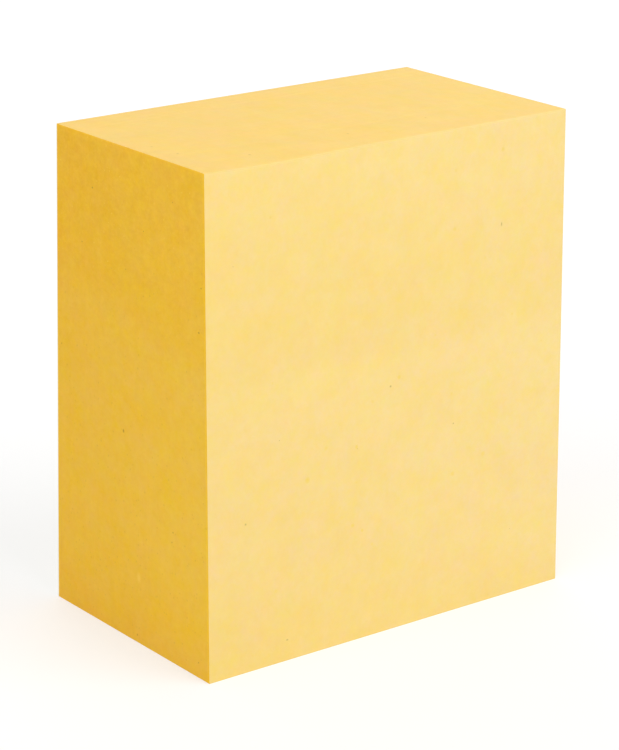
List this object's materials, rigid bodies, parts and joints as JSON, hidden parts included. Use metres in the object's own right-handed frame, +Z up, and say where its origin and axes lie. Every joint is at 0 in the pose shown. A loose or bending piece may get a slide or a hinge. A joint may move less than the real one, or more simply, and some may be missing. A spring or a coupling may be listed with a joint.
{
  "type": "sticky note pad",
  "caption": "Thick yellow sticky note pad standing on its glued edge, a block of notes with a thin backing sheet.",
  "frame": {"origin": "middle of the cut face at the notes' glued edge, which the pad stands on", "axes": "+Z up from the glued edge to the free edge, -Y the way the top note faces, +X to the right of the top note seen from the front"},
  "size_m": [0.0666, 0.0414, 0.076],
  "materials": {
    "yellow_note_paper": "matt uncoated paper, cut page edges on four sides",
    "backing_paper": "thin smooth release paper"
  },
  "bodies": {
    "root": {"note_block": "yellow_note_paper", "backing_sheet": "backing_paper"}
  },
  "joints": []
}
